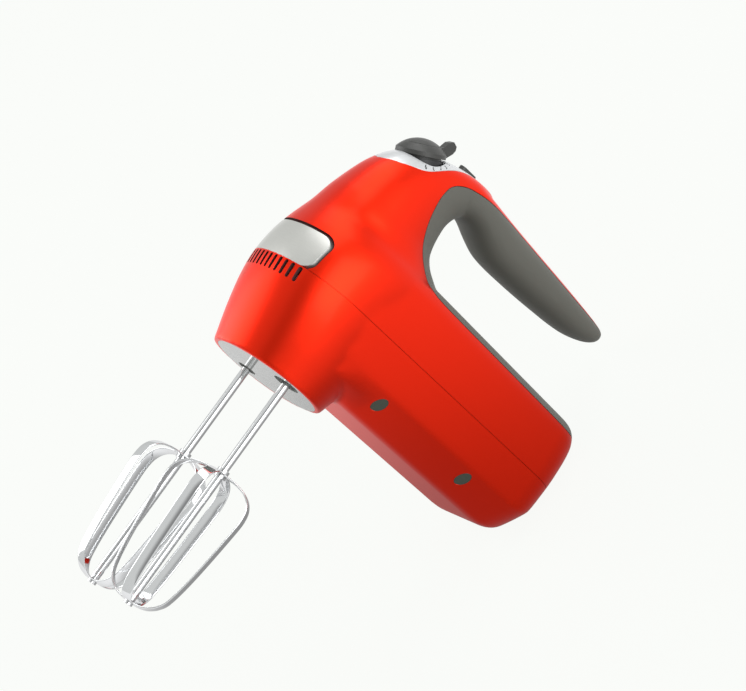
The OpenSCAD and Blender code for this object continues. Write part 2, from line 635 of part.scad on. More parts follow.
lower_housing();
upper_housing();
handle_grip();
heel_pad();
socket_plate();
badge_plate();
control_trim();
screw_plugs();
housing_screws();
cord_gland();
speed_dial();
eject_plunger();
eject_spring();
ejector_yoke();
turbo_button();
turbo_spring();
control_frame();
speed_switch();
turbo_switch();
control_board();
terminal_block();
gearbox_frame();
gearbox_cover();
gearbox_screws();
spindle_bushings();
worm_wheel_left();
worm_wheel_right();
beater_shaft_left();
beater_shaft_right();
beater_blades_left();
beater_blades_right();
motor_shaft();
worm();
cooling_fan();
armature_core();
armature_windings();
commutator();
motor_bearings();
motor_front_bracket();
motor_rear_bracket();
stator_core();
field_coils();
brush_holders();
carbon_brushes();
brush_springs();
motor_screws();
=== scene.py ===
import math

import bmesh
import bpy
import numpy as np
from mathutils import Matrix, Vector
from mathutils.bvhtree import BVHTree


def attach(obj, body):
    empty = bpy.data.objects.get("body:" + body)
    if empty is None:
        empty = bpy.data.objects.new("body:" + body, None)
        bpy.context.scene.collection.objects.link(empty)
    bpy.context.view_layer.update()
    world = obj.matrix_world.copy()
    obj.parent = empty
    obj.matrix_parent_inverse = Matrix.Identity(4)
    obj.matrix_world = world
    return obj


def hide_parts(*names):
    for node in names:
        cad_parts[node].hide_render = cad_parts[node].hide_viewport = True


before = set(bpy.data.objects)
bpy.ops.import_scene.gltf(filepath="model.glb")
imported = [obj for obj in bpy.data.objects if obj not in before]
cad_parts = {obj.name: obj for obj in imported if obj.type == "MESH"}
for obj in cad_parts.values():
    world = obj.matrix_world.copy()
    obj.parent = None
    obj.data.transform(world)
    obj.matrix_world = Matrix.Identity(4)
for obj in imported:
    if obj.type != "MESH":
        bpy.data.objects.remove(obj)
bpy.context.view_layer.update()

# ---- Studio -------------------------------------------------------------
# A long lens looks down on the mixer, which stands on its heel on a pale worktop.
# The camera is rolled, so that the beaters point down and to the left.
camera_place = Vector((-0.27605, -1.2707, 0.94105))
camera_right = Vector((0.5739, -0.5244, -0.6290)).normalized()
camera_up = Vector((0.7993, 0.1914, 0.5697)).normalized()
lens = bpy.data.cameras.new("camera")
lens.lens = 136.78
lens.sensor_width = 36
lens.clip_end = 20
camera = bpy.data.objects.new("camera", lens)
bpy.context.collection.objects.link(camera)
camera_back = camera_right.cross(camera_up).normalized()
camera_up = camera_back.cross(camera_right)
camera.matrix_world = Matrix.Translation(camera_place) @ Matrix(
    (camera_right, camera_up, camera_back)).transposed().to_4x4()
bpy.context.scene.camera = camera
bpy.context.scene.view_settings.view_transform = "Standard"


class Feed:
    """One output of a shader node, which can be used in sums."""

    def __init__(self, finish, socket):
        self.finish = finish
        self.socket = socket

    def sum_with(self, operation, *terms):
        return self.finish.sum_of(operation, *terms)

    def __add__(self, other):
        return self.sum_with("ADD", self, other)

    def __radd__(self, other):
        return self.sum_with("ADD", other, self)

    def __sub__(self, other):
        return self.sum_with("SUBTRACT", self, other)

    def __rsub__(self, other):
        return self.sum_with("SUBTRACT", other, self)

    def __mul__(self, other):
        return self.sum_with("MULTIPLY", self, other)

    def __rmul__(self, other):
        return self.sum_with("MULTIPLY", other, self)

    def __pow__(self, other):
        return self.sum_with("POWER", self, other)

    def between(self, low, high):
        """0 below low, 1 above high, with a soft step from one to the other."""
        return self.finish.node("MapRange", {"interpolation_type": "SMOOTHSTEP"},
                                {"Value": self, "From Min": low, "From Max": high})


class Finish:
    """A material, built from one Principled surface and the nodes that feed it."""

    def __init__(self, name, **constants):
        self.material = bpy.data.materials.new(name)
        self.material.use_nodes = True
        self.tree = self.material.node_tree
        self.tree.nodes.clear()
        self.output = self.tree.nodes.new("ShaderNodeOutputMaterial")
        self.skin = self.tree.nodes.new("ShaderNodeBsdfPrincipled")
        self.tree.links.new(self.skin.outputs[0], self.output.inputs[0])
        for key, value in constants.items():
            self.skin.inputs[key.replace("_", " ")].default_value = value

    def node(self, kind, settings=None, feeds=None, out=0):
        made = self.tree.nodes.new("ShaderNode" + kind)
        for key, value in (settings or {}).items():
            if key == "stops":
                ramp = made.color_ramp
                while len(ramp.elements) < len(value):
                    ramp.elements.new(1.0)
                for element, (place, colour) in zip(ramp.elements, value):
                    element.position = place
                    element.color = (*colour, 1)
            else:
                setattr(made, key, value)
        for key, value in (feeds or {}).items():
            if isinstance(value, Feed):
                self.tree.links.new(value.socket, made.inputs[key])
            else:
                made.inputs[key].default_value = value
        return Feed(self, made.outputs[out])

    def sum_of(self, operation, *terms):
        return self.node("Math", {"operation": operation}, dict(enumerate(terms)))

    def place(self, stretch=(1, 1, 1)):
        """Where a point of the surface lies, in metres, stretched along each axis."""
        return self.node("VectorMath", {"operation": "MULTIPLY"},
                         {0: self.node("TexCoord", out="Object"), 1: stretch})

    def noise(self, scale, detail=3, stretch=(1, 1, 1), roughness=0.5):
        return self.node("TexNoise", {}, {"Vector": self.place(stretch), "Scale": scale,
                                          "Detail": detail, "Roughness": roughness})

    def mix(self, share, first, second):
        """A colour that goes from first to second."""
        return self.node("Mix", {"data_type": "RGBA"}, {0: share, 6: first, 7: second}, out=2)

    def feed(self, **feeds):
        for key, value in feeds.items():
            self.tree.links.new(value.socket, self.skin.inputs[key.replace("_", " ")])
        return self

    def bump(self, height, strength, distance=0.0002):
        self.feed(Normal=self.node("Bump", {}, {"Height": height, "Strength": strength,
                                                "Distance": distance}))
        return self


def white_to_the_eye(finish, share, mirrored, lit, white):
    """Shows a surface as part white, by one share to the camera and another in metal and glass."""
    seen = finish.node("LightPath", out="Is Camera Ray") * share
    for kind in ("Is Glossy Ray", "Is Transmission Ray"):
        seen = seen.sum_with("MAXIMUM", seen, finish.node("LightPath", out=kind) * mirrored)
    return finish.node("MixShader", {}, {0: seen, 1: lit, 2: white})


worktop_mesh = bpy.data.meshes.new("worktop")
worktop_mesh.from_pydata([(-6, -6, 0), (6, -6, 0), (6, 6, 0), (-6, 6, 0)], [], [(0, 1, 2, 3)])
worktop = bpy.data.objects.new("worktop", worktop_mesh)
worktop.location.z = -0.0004
bpy.context.collection.objects.link(worktop)
pale = Finish("pale_worktop", Roughness=0.85, Specular_IOR_Level=0.1)
pale.feed(Base_Color=pale.mix(pale.noise(40), (0.58, 0.59, 0.57, 1), (0.60, 0.61, 0.59, 1)))
# In the paint and the metal, the worktop shows a painted shade, dimmer close to the mixer; to the camera it
# stays white
PAPER_WHITE = (0.985, 1.0, 0.975, 1)
PAINTED_SHADE_MIDDLE = (-0.09, -0.03, 0)
off = pale.node("VectorMath", {"operation": "DISTANCE"},
                {0: pale.node("TexCoord", out="Object"), 1: PAINTED_SHADE_MIDDLE}, out=1)
# The painted shade: darkest around the middle under the mixer, lighter farther out
level = 0.38 + off.between(0.06, 0.40) * 0.78
white_with_painted_shade = pale.mix(pale.node("LightPath", out="Is Camera Ray"), level, PAPER_WHITE)
white = pale.node("Emission", {}, {"Color": white_with_painted_shade, "Strength": 1.0})
shown = white_to_the_eye(pale, 0.93, 0.9, Feed(pale, pale.skin.outputs[0]), white)
pale.tree.links.new(shown.socket, pale.output.inputs[0])
worktop_mesh.materials.append(pale.material)

class Room(Finish):
    """The light from all round, as nodes of the world."""

    def __init__(self, name):
        world = bpy.data.worlds.new(name)
        world.use_nodes = True
        bpy.context.scene.world = world
        self.tree = world.node_tree
        self.tree.nodes.clear()
        self.output = self.tree.nodes.new("ShaderNodeOutputWorld")


# A grey gap in the pale ceiling draws a dark line along the polished steel
room = Room("studio")
ways = room.node("TexCoord", out="Generated")
sideways = room.node("SeparateXYZ", {}, {0: ways}, out=1)
upward = room.node("SeparateXYZ", {}, {0: ways}, out=2)
gap = (1 - room.sum_of("ABSOLUTE", sideways + 0.58).between(0.07, 0.26)) * upward.between(0.1, 0.4)
glossy = room.node("LightPath", out="Is Glossy Ray")
eye = room.sum_of("MAXIMUM", room.node("LightPath", out="Is Camera Ray"),
                  room.node("LightPath", out="Is Transmission Ray"))
ceiling = room.mix(gap, (0.74, 0.75, 0.74, 1), (0.28, 0.28, 0.28, 1))
lit = room.mix(glossy, (0.40, 0.41, 0.42, 1), ceiling)
sky = room.node("Background", {}, {0: room.mix(eye, lit, PAPER_WHITE), 1: 1.0})
room.tree.links.new(sky.socket, room.output.inputs[0])


def softbox(name, place, aim, width, height, power):
    lamp = bpy.data.lights.new(name, "AREA")
    lamp.shape = "RECTANGLE"
    lamp.size = width
    lamp.size_y = height
    lamp.energy = power
    box = bpy.data.objects.new(name, lamp)
    box.location = place
    box.rotation_euler = (Vector(place) - Vector(aim)).to_track_quat("Z", "Y").to_euler()
    bpy.context.collection.objects.link(box)


middle = Vector((0.02, 0, 0.12))


def around(right, up, back):
    """A place about the mixer, counted from the camera's own right, up and back."""
    return middle + camera_right * right + camera_up * up + camera_back * back


softbox("left_softbox", around(-1.25, 0.35, -0.3), middle, 0.7, 1.5, 8)
softbox("right_softbox", around(0.8, 0.1, 1.05), middle, 1.0, 1.4, 15)
softbox("top_softbox", around(0.1, 1.3, 0.3), middle, 1.4, 0.7, 8)

# ---- Outer form ---------------------------------------------------------
# The nose, the barrel and the cantilever handle run into one another in one flowing form,
# and the moulded pieces are parted from its skin. Millimetres from the shaft plane here.
HEEL_MID = 54
BODY_LEN = 174
BODY_HALF = 41
BELLY = 10
SEAM = 51
DECK = 94.1
DECK_FALL = 5
FALL_START = 40
SQUARENESS = 2.25
# Over this stretch behind the nose, the barrel's flanks widen to meet it
FLARE_REAR = -46
FLARE_LEN = 36
FLARE_LOW = 12
FLARE_RISE = 8
# Height, half width, front reach, rear reach of the nose and post
column = np.array([
    (0, 33, 33, -33), (20, 38, 38.5, -38), (38, 40.5, 42.5, -40), (52, 41, 44, -44), (66, 40.7, 43, -50),
    (77, 39.3, 40.5, -56), (84, 36.6, 38.6, -58), (90, 32.6, 37, -55), (94, 30.6, 36, -48),
    (99, 28.8, 34.8, -39.5), (106, 26.5, 33, -34), (122, 22.5, 27.5, -32), (130, 20.5, 23.5, -34),
    (136, 19, 19.5, -38), (141, 17.5, 14.5, -42), (147, 15.5, 4, -44), (152, 13, -8, -46),
    (155.5, 9.5, -20, -48), (157.5, 5, -34, -50)])
# Place along the handle, top, underside, half width
handle = np.array([
    (-161.5, 143.1, 140, 3), (-158.5, 144.9, 136, 8.5), (-152, 146.1, 132.5, 12),
    (-140, 147.5, 129.3, 14), (-118, 149.5, 127.3, 15.5), (-90, 151.8, 126, 16.5),
    (-68, 153.7, 126.4, 17), (-56, 154.9, 130, 16.5),
    (-45, 156, 134.5, 16), (-34, 157.2, 134.5, 15), (-20, 154, 130, 14)])
# Half section of the barrel, from the middle of the belly to the middle of the deck
barrel = np.array([
    (BELLY + 1, 0), (BELLY + 1, 18), (BELLY + 1.6, 21), (BELLY + 3.2, 23.8), (19.5, 30.5),
    (26.5, 37), (31, 39.3), (SEAM, BODY_HALF - 0.1), (66, BODY_HALF - 0.6), (77, 38.9),
    (83.5, 36.6), (89.4, 31), (92.9, 18), (DECK, 0)])


def along(rows, x):
    """A smooth curve through the columns of a table."""
    at = rows[:, 0]
    i = int(np.clip(np.searchsorted(at, x, side="right") - 1, 0, len(at) - 2))

    def slope(k):
        a, b = max(k - 1, 0), min(k + 1, len(at) - 1)
        return (rows[b] - rows[a]) / (at[b] - at[a])

    step = at[i + 1] - at[i]
    t = (x - at[i]) / step
    return (rows[i] * (1 + 2 * t) * (1 - t) ** 2 + rows[i + 1] * t * t * (3 - 2 * t)
            + step * (slope(i) * t * (1 - t) ** 2 - slope(i + 1) * t * t * (1 - t)))


def swell(values, squareness=SQUARENESS):
    return np.sign(values) * np.abs(values) ** (2 / squareness)


def column_ring(height, count=120):
    _, half, front, rear = along(column, height)
    turn = np.linspace(0, 2 * math.pi, count, endpoint=False)
    return np.stack([np.full(count, height), half * swell(np.sin(turn)),
                     (front + rear) / 2 + (front - rear) / 2 * swell(np.cos(turn))], 1)


def handle_ring(w, count=80):
    _, top, under, half = along(handle, w)
    turn = -np.linspace(0, 2 * math.pi, count, endpoint=False)
    return np.stack([(top + under) / 2 + (top - under) / 2 * swell(np.cos(turn)),
                     half * swell(np.sin(turn)), np.full(count, w)], 1)


def rounding(from_end, depth):
    return 1 - math.sqrt(1 - (1 - min(1, from_end / depth)) ** 2)


def barrel_ring(w):
    end = w + BODY_LEN - 0.8
    side_in, belly_in, deck_in = 19 * rounding(end, 20), 18 * rounding(end, 24), 12.5 * rounding(end, 15)
    fall = DECK_FALL * max(0, -w - FALL_START) / (BODY_LEN - FALL_START)
    flare = float(np.clip((w - FLARE_REAR) / FLARE_LEN, 0, 1))
    flare *= flare * (3 - 2 * flare)
    half = []
    for height, across in barrel_smooth:
        if FLARE_LOW < height < SEAM:
            nose_half = np.interp(height, column[:, 0], column[:, 1]) - 0.6
            rise = min(1, (height - FLARE_LOW) / FLARE_RISE)
            across += flare * rise * max(0, nose_half - across)
        share = (height - SEAM) / ((DECK - SEAM) if height > SEAM else (SEAM - BELLY))
        half.append((height - (share * (deck_in + fall) if share > 0 else -share * -belly_in),
                     across * (BODY_HALF - side_in) / BODY_HALF, w))
    half = np.array(half)
    return np.vstack([half, half[-2:0:-1] * (1, -1, 1)])


def smooth_through(points, between):
    """Points on a smooth open curve through the given ones."""
    points = np.asarray(points, float)
    ends = np.vstack([2 * points[0] - points[1], points, 2 * points[-1] - points[-2]])
    made = []
    for i in range(1, len(ends) - 2):
        a, b, c, d = ends[i - 1:i + 3]
        for t in np.arange(between) / between:
            made.append(0.5 * (2 * b + (c - a) * t + (2 * a - 5 * b + 4 * c - d) * t * t
                               + (3 * b - a - 3 * c + d) * t ** 3))
    return np.vstack([made, points[-1]])


barrel_smooth = np.vstack([barrel[0], smooth_through(barrel[1:], 5)])


def mesh_object(name, vertices, faces):
    mesh = bpy.data.meshes.new(name)
    mesh.from_pydata([tuple(v) for v in vertices], [], faces)
    made = bpy.data.objects.new(name, mesh)
    bpy.context.collection.objects.link(made)
    return made


def loft(rings):
    """Vertices and faces of a closed skin through rings of equal length."""
    n = len(rings[0])
    faces = [tuple(range(n - 1, -1, -1))]
    for k in range(len(rings) - 1):
        for i in range(n):
            j = (i + 1) % n
            faces.append((k * n + i, k * n + j, (k + 1) * n + j, (k + 1) * n + i))
    faces.append(tuple((len(rings) - 1) * n + i for i in range(n)))
    return np.vstack(rings), faces


def placed(points):
    """From the shaft plane, in millimetres, to the frame, in metres."""
    return (np.asarray(points, float) + (-HEEL_MID, 0, BODY_LEN)) / 1000


def outward(piece):
    """Turns a closed piece's faces outwards."""
    solid = bmesh.new()
    solid.from_mesh(piece.data)
    if solid.calc_volume(signed=True) < 0:
        piece.data.flip_normals()
    solid.free()
    return piece


def joined(name, parts):
    vertices, faces, start = [], [], 0
    for part_vertices, part_faces in parts:
        vertices.append(part_vertices)
        faces += [tuple(i + start for i in face) for face in part_faces]
        start += len(part_vertices)
    return mesh_object(name, placed(np.vstack(vertices)), faces)


def finished_mesh(piece):
    """Applies a piece's modifiers."""
    bpy.context.view_layer.update()
    shaped = piece.evaluated_get(bpy.context.evaluated_depsgraph_get())
    mesh = bpy.data.meshes.new_from_object(shaped)
    piece.modifiers.clear()
    old = piece.data
    piece.data = mesh
    bpy.data.meshes.remove(old)
    return piece


def arrays(mesh):
    places = np.empty(len(mesh.vertices) * 3)
    mesh.vertices.foreach_get("co", places)
    edges = np.empty(len(mesh.edges) * 2, int)
    mesh.edges.foreach_get("vertices", edges)
    return places.reshape(-1, 3), edges.reshape(-1, 2)


def relaxed(places, edges, rounds):
    """Smooths a dense skin, without letting it shrink much."""
    count = np.bincount(edges.ravel(), minlength=len(places))[:, None]
    for _ in range(rounds):
        for pull in (0.55, -0.5):
            total = np.zeros_like(places)
            np.add.at(total, edges[:, 0], places[edges[:, 1]])
            np.add.at(total, edges[:, 1], places[edges[:, 0]])
            places = places + pull * (total / count - places)
    return places


columns = loft([column_ring(h) for h in np.arange(0, 157.3, 1.0)])
HEEL_STATIONS = [-173.2, -173.0, -172.6, -172, -171, -169.5, -167.5, -165, -162, -158.5, -154, -149]
barrels = loft([barrel_ring(w) for w in HEEL_STATIONS + list(np.arange(-144, -2, 6.0)) + [-2]])
handles = loft([handle_ring(w) for w in [-161.5, -161, -160, -158.8, -157, -155, -152.5]
                + list(np.arange(-149, -21, 4.0)) + [-21]])
form = joined("form", [columns, barrels, handles])
blend = form.modifiers.new("blend", "REMESH")
blend.mode = "VOXEL"
blend.voxel_size = 0.0011
BLEND_ROUNDS = 24
finished_mesh(form)
form_places, form_edges = arrays(form.data)
form_places = relaxed(form_places, form_edges, BLEND_ROUNDS)
form.data.vertices.foreach_set("co", form_places.ravel())
form.data.update()


def sunk(name, depth):
    """The form with its skin moved in by a depth, in millimetres."""
    mesh = form.data.copy()
    normals = np.empty(len(mesh.vertices) * 3)
    mesh.vertices.foreach_get("normal", normals)
    mesh.vertices.foreach_set("co", (form_places - normals.reshape(-1, 3) * depth / 1000).ravel())
    mesh.update()
    made = bpy.data.objects.new(name, mesh)
    bpy.context.collection.objects.link(made)
    return made


WALL = 1.6
core = sunk("core", WALL)
# Shapes that only cut others, and are thrown away at the end
SCRAP = ("form", "core", "skin", "recess", "recess_floor", "vent", "plug_hole", "plug_bar",
         "plate_seat", "above", "below", "below_grip", "grip_gap", "grip_keep", "trim_gap",
         "trim_keep", "grip_gap_trim", "dial_well", "badge_keep")


def cut(piece, *cutters, keep="DIFFERENCE"):
    """Cuts a piece by closed cutters, or keeps what lies inside them."""
    for cutter in cutters:
        step = piece.modifiers.new("cut", "BOOLEAN")
        step.operation = keep
        step.solver = "MANIFOLD"
        step.object = cutter
    return finished_mesh(piece)


def skin_copy(name):
    made = bpy.data.objects.new(name, skin.data.copy())
    bpy.context.collection.objects.link(made)
    return made


skin = bpy.data.objects.new("skin", form.data.copy())
bpy.context.collection.objects.link(skin)
cut(skin, core)


def extruded(name, outline, low, high, axis="y"):
    """A closed prism. Its outline is (height, along) for y, (across, along) for x,
    and (height, across) for z."""
    outline = np.asarray(outline, float)
    n = len(outline)
    rings = []
    for level in (low, high):
        ring = np.full((n, 3), float(level))
        columns_used = {"y": (0, 2), "x": (1, 2), "z": (0, 1)}[axis]
        ring[:, columns_used[0]], ring[:, columns_used[1]] = outline[:, 0], outline[:, 1]
        rings.append(ring)
    vertices, faces = loft(rings)
    return outward(mesh_object(name, placed(vertices), faces))


def seam_side(name, gap, upper):
    """What lies above or below the seam, side view."""
    far = 200 if upper else -20
    outline = [(SEAM + 1 + gap, 60), (SEAM - 1.5 + gap, -BODY_LEN - 5), (far, -BODY_LEN - 5), (far, 60)]
    return extruded(name, outline, -60, 60)


# Half the dark line between two mouldings
PARTING = 0.12
GRIP_EDGE = [
    (80, -BODY_LEN - 5), (82, -147), (84, -95), (86, -46), (88, -33), (93, -25), (103, -17), (114, -12.5),
    (125, -11), (134, -11.5), (141.5, -15), (147.5, -25), (150.5, -40), (150.8, -58),
    (149.2, -80), (146.6, -112), (144.6, -140), (142.6, -BODY_LEN - 5)]


def widened(edge, gap):
    """A clockwise outline moved outwards by a gap."""
    ahead = np.gradient(edge, axis=0)
    ahead /= np.linalg.norm(ahead, axis=1)[:, None]
    return edge + gap * np.stack([-ahead[:, 1], ahead[:, 0]], 1)


def grip_side(name, gap):
    return extruded(name, widened(smooth_through(GRIP_EDGE, 8), gap), -60, 60)


def dressed(piece, body, slot, finish, *nodes, sharp=35):
    """Shades a piece, gives it its finish, hangs it on its body and hides the parts it stands for."""
    mesh = piece.data
    mesh.shade_smooth()
    mesh.set_sharp_from_angle(angle=math.radians(sharp))
    mesh.materials.clear()
    mesh.materials.append(finish.material)
    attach(piece, body)
    if nodes:
        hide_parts(*nodes)
    return piece


def rod(name, start, end, radius, sides=32, grown=0):
    """A straight round bar between two points of the shaft frame."""
    start, end = np.array(start, float), np.array(end, float)
    axis = (end - start) / np.linalg.norm(end - start)
    side = np.cross(axis, (0, 1, 0) if abs(axis[1]) < 0.9 else (1, 0, 0))
    side /= np.linalg.norm(side)
    other = np.cross(axis, side)
    turn = np.linspace(0, 2 * math.pi, sides, endpoint=False)[:, None]
    ring = (radius + grown) * (np.cos(turn) * side + np.sin(turn) * other)
    vertices, faces = loft([start + ring, end + ring])
    return outward(mesh_object(name, placed(vertices), faces))


# ---- Lower housing ------------------------------------------------------
# The moulded belly half of the body, painted in a satin metallic red.
# It carries the motor, and four screws from below pull it to the upper half.
PLUG_R = 3.8
PLUG_PLACES = [(side * 33.2, w) for side in (-1, 1) for w in (-47, -119)]
SCREW_SEAT = 30.5
VENTS = 13
VENT_STEP = 4.2
VENT_TOP = 50
VENT_FOOT = 43.4
red = Finish("red_paint", Metallic=0.92, Roughness=0.34, Coat_Weight=0.05, Coat_Roughness=0.15)
flake = red.noise(2600, 2)
drift = red.noise(9, 2)
red.feed(Base_Color=red.mix(drift * 0.6 + flake * 0.4,
                            (0.80, 0.018, 0.0022, 1), (0.90, 0.025, 0.0036, 1)),
         Roughness=0.32 + flake * 0.10)
red.bump(flake, 0.04, 0.0001)


def plug_holes(grown):
    return [rod("plug_hole", (-2, y, w), (SCREW_SEAT, y, w), PLUG_R, grown=grown)
            for y, w in PLUG_PLACES]


def vent_cutters():
    made = []
    for i in range(VENTS):
        y = (i - (VENTS - 1) / 2) * VENT_STEP
        turn = np.linspace(0, math.pi, 9)
        outline = [(VENT_TOP + 1.05 * math.sin(t), y + 1.05 * math.cos(t)) for t in turn]
        outline += [(VENT_FOOT - 0.9 * math.sin(t), y - 0.9 * math.cos(t)) for t in turn]
        made.append(extruded("vent", outline, 24, 60, axis="z"))
    return made


vents = vent_cutters()
lower = skin_copy("belly_shell")
cut(lower, seam_side("above", -PARTING, True), *plug_holes(0), *vents,
    rod("plate_seat", (-2, 0, 0), (5.6, 0, 0), 31.5, sides=96))
dressed(lower, "housing", "red_shell", red, "lower_housing")

# ---- Upper housing ------------------------------------------------------
# The upper half of the body, from the same paint, with the recess for the badge plate,
# the vent ribs under it, and the openings for the dial, the trim and the grip.
TRIM_HALF = [(6, 22.5), (12, 17.5), (15.5, 10), (16.5, 3), (15, -5), (11.5, -16), (8, -28), (4.5, -38.5)]
TRIM_EDGE = [(0, 24)] + TRIM_HALF + [(0, -42)] + [(-y, w) for y, w in reversed(TRIM_HALF)] + [(0, 24)]
GRIP_LINE = 0.26
RECESS_GAP = 1.7


def trim_leaf(name, gap):
    return leaf_prism(name, widened(smooth_through(TRIM_EDGE, 6)[:-1], gap))


def leaf_prism(name, outline):
    rings = [np.column_stack([np.full(len(outline), level), outline[:, 0], outline[:, 1]])
             for level in (118.0, 170.0)]
    vertices, faces = loft(rings)
    return outward(mesh_object(name, placed(vertices), faces))


def window(name, grown, low=51.5, high=72.5, side=22.6, radius=5.5):
    """The badge plate's rounded outline, seen from the front, as a closed prism."""
    outline = []
    top, foot = high - radius, low + radius
    for cx, cy, start in ((top, side, 0), (foot, side, 1), (foot, -side, 2), (top, -side, 3)):
        for t in np.linspace(0, math.pi / 2, 9):
            a = start * math.pi / 2 + t
            outline.append((cx + (radius + grown) * math.cos(a), cy + (radius + grown) * math.sin(a)))
    return extruded(name, outline, 15, 60, axis="z")


recess_floor = sunk("recess_floor", 1.5)
recess = cut(window("recess", RECESS_GAP), recess_floor)
upper = skin_copy("body_shell")
DIAL_TILT = math.radians(28)
DIAL_AT = np.array((146.8, 0, 3.6))
DIAL_AXIS = np.array((math.cos(DIAL_TILT), 0, math.sin(DIAL_TILT)))
dial_well = rod("dial_well", DIAL_AT - 16 * DIAL_AXIS, DIAL_AT + 24 * DIAL_AXIS, 14.3, sides=96)
cut(upper, seam_side("below", PARTING, False), grip_side("grip_gap", GRIP_LINE), recess, *vents, dial_well,
    trim_leaf("trim_gap", PARTING))
dressed(upper, "housing", "red_shell", red, "upper_housing")
# Painted shade: the faces in the recess and the slots take a dark red-brown in place of the paint
recess_shade = Finish("painted_recess_shade", Roughness=0.6)
recess_shade.feed(Base_Color=recess_shade.mix(recess_shade.noise(900), (0.040, 0.005, 0.004, 1), (0.060, 0.008, 0.006, 1)))
form_tree = BVHTree.FromObject(form, bpy.context.evaluated_depsgraph_get())
# Faces deeper than this under the form's skin get the painted shade
RECESS_SHADE_DEPTH = 0.0003
for shell in (lower, upper):
    shell.data.materials.append(recess_shade.material)
    for face in shell.data.polygons:
        centre = face.center * 1000 + Vector((HEEL_MID, 0, -BODY_LEN))
        near_front = 40 < centre.x < 76 and centre.z > 14
        if near_front and form_tree.find_nearest(face.center)[3] > RECESS_SHADE_DEPTH:
            face.material_index = 1

# ---- Soft grip ----------------------------------------------------------
# A warm grey rubbery moulding over the handle's underside, the throat and the deck.
# It hooks into the upper housing along the parting line.
soft = Finish("soft_grip", Roughness=0.62, Sheen_Weight=0.12, Specular_IOR_Level=0.35)
fine = soft.noise(3800, 4)
soft.feed(Base_Color=soft.mix(soft.noise(14, 2), (0.102, 0.101, 0.085, 1), (0.132, 0.130, 0.112, 1)),
          Roughness=0.56 + fine * 0.12)
soft.bump(fine, 0.10, 0.0001)
grip = skin_copy("grip_shell")
cut(grip, grip_side("grip_keep", -PARTING), keep="INTERSECT")
cut(grip, seam_side("below_grip", PARTING, False), *plug_holes(0))
dressed(grip, "housing", "soft_grip", soft, "handle_grip")

# ---- Control trim -------------------------------------------------------
# A silver leaf of moulded plastic around the dial, clipped into the upper housing.
# The speed numbers are pad-printed on it in dark ink.
silver = Finish("silver_trim", Metallic=0.35, Roughness=0.30, Coat_Weight=0.2)
speck = silver.noise(3000, 2)
silver.feed(Base_Color=silver.mix(speck, (0.60, 0.61, 0.62, 1), (0.70, 0.71, 0.72, 1)),
            Roughness=0.26 + speck * 0.10)
trim = skin_copy("trim_shell")
cut(trim, trim_leaf("trim_keep", -PARTING), keep="INTERSECT")
cut(trim, dial_well, grip_side("grip_gap_trim", PARTING))
dressed(trim, "housing", "silver_trim", silver, "control_trim")

# ---- Badge plate --------------------------------------------------------
# A bare curved plate of brushed stainless steel, staked into the recess over the vents.
# Its rim is polished, and it stands clear of the recess all round.
brushed = Finish("brushed_badge", Metallic=0.9, Roughness=0.34)
grain = brushed.noise(420, 6, stretch=(14, 0.5, 0.5), roughness=0.7)
brushed.feed(Base_Color=brushed.mix(grain, (0.56, 0.56, 0.53, 1), (0.70, 0.70, 0.67, 1)),
             Roughness=0.28 + grain * 0.16)
brushed.bump(grain, 0.05, 0.0001)
badge = skin_copy("badge_skin")
cut(badge, window("badge_keep", 0), keep="INTERSECT")
dressed(badge, "housing", "badge_metal", brushed, "badge_plate")

# ---- Socket plate -------------------------------------------------------
# A glossy pale plate under the nose, snapped in from below. Its two holes differ in width,
# so that each beater fits only its own socket.
def refinish(finish, *nodes):
    for name in nodes:
        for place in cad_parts[name].material_slots:
            place.material = finish.material


plate = Finish("plate_gloss", Roughness=0.10)
plate.feed(Base_Color=plate.mix(plate.noise(60), (0.32, 0.33, 0.31, 1), (0.37, 0.38, 0.36, 1)),
           Roughness=0.08 + plate.noise(900) * 0.06)
refinish(plate, "socket_plate")

# ---- Screw plugs --------------------------------------------------------
# Four round rubber plugs, pressed in over the screws and flush with the sloping wall.
plug = Finish("plug_rubber", Roughness=0.55)
plug.feed(Base_Color=plug.mix(plug.noise(700), (0.040, 0.052, 0.036, 1), (0.060, 0.074, 0.055, 1)))
plug.bump(plug.noise(3000, 4), 0.12, 0.0001)
caps = []
for y, w in PLUG_PLACES:
    bar = rod("plug_bar", (-2, y, w), (SCREW_SEAT, y, w), PLUG_R, grown=-PARTING)
    caps.append(cut(skin_copy("plug_cap_%d" % len(caps)), bar, keep="INTERSECT"))
for cap in caps:
    dressed(cap, "housing", "dark_control", plug, "screw_plugs")

# ---- Heel ---------------------------------------------------------------
# A thin rubber pad on the flat heel, on which the mixer is stored, and the gland
# of black nylon that holds the mains lead.
heel = Finish("heel_rubber", Roughness=0.75)
heel.feed(Base_Color=heel.mix(heel.noise(300), (0.085, 0.084, 0.072, 1), (0.115, 0.113, 0.098, 1)))
heel.bump(heel.noise(2500, 4), 0.2, 0.0001)
refinish(heel, "heel_pad")
nylon = Finish("black_nylon", Roughness=0.45)
nylon.feed(Base_Color=nylon.mix(nylon.noise(500), (0.010, 0.010, 0.011, 1), (0.020, 0.020, 0.022, 1)))
nylon.bump(nylon.noise(2200, 3), 0.1, 0.0001)
refinish(nylon, "cord_gland", "turbo_switch", "terminal_block", "control_frame")

# ---- Dial, eject button and turbo button --------------------------------
# Dark satin mouldings with a fine spark texture. The dial's ring turns in the trim,
# the dome in its middle is pressed to eject the beaters, and the small oval is the turbo button.
control = Finish("dark_control", Roughness=0.42, Specular_IOR_Level=0.4)
spark = control.noise(3400, 5)
control.feed(Base_Color=control.mix(control.noise(90),
                                    (0.040, 0.040, 0.038, 1), (0.062, 0.062, 0.058, 1)),
             Roughness=0.36 + spark * 0.14)
control.bump(spark, 0.12, 0.0001)
refinish(control, "speed_dial", "eject_plunger", "turbo_button")

